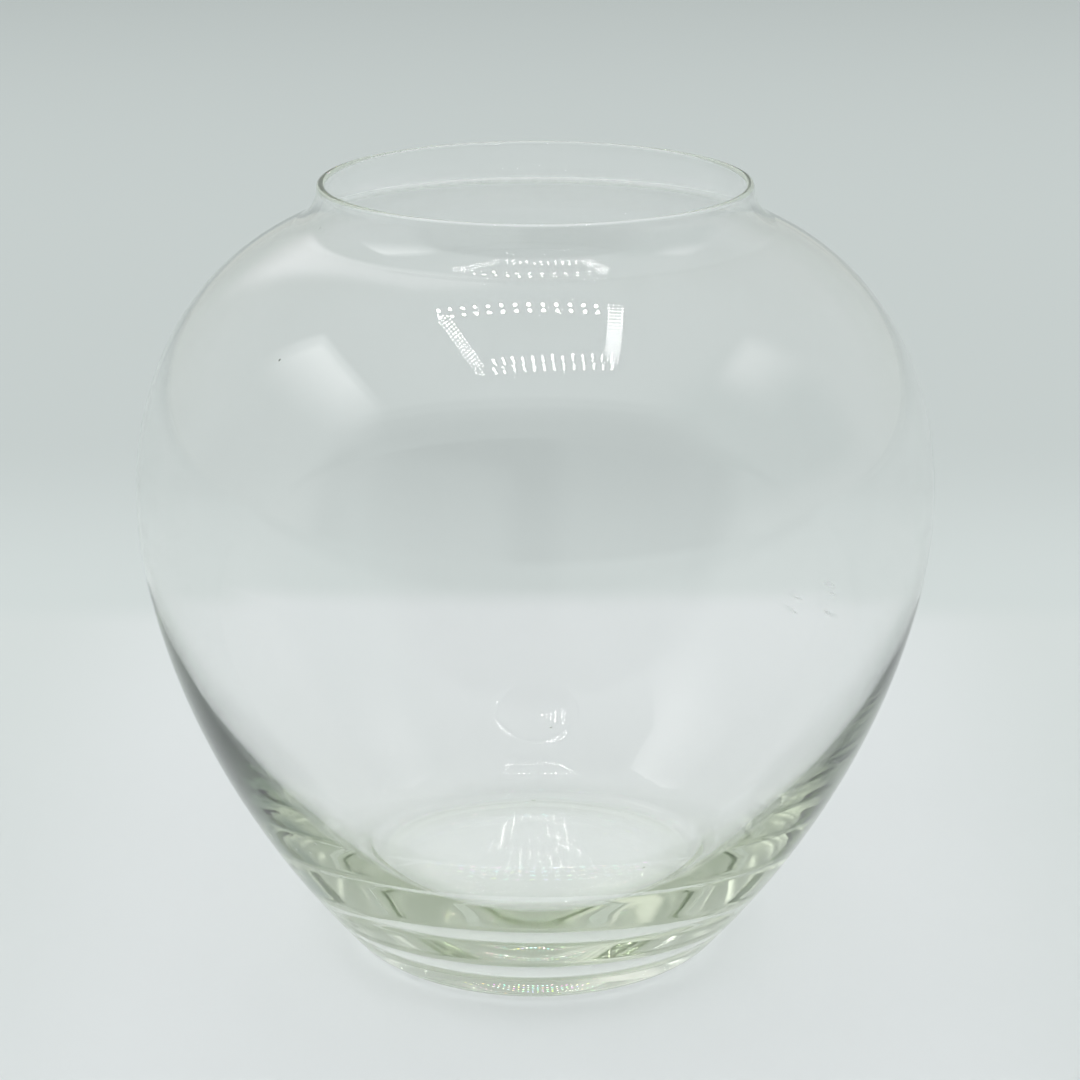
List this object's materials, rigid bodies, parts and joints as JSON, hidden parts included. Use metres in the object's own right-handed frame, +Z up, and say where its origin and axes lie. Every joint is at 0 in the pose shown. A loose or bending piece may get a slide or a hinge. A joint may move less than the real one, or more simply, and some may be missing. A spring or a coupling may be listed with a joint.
{
  "type": "rose bowl vase",
  "caption": "Round-bellied rose bowl vase in clear blown glass, with a short collar, a wide open mouth, thin walls and a heavy thick base, for holding cut flowers in water.",
  "frame": {"origin": "middle of the ring under the base, on the surface that the vase stands on", "axes": "+Z up along the axis that the vase is round about; X and Y are equal by symmetry"},
  "size_m": [0.2222, 0.2222, 0.22],
  "materials": {
    "clear_glass": "fire-polished, clear with a faint grey-green tint"
  },
  "bodies": {
    "root": {"glass_bowl": "clear_glass"}
  },
  "joints": []
}
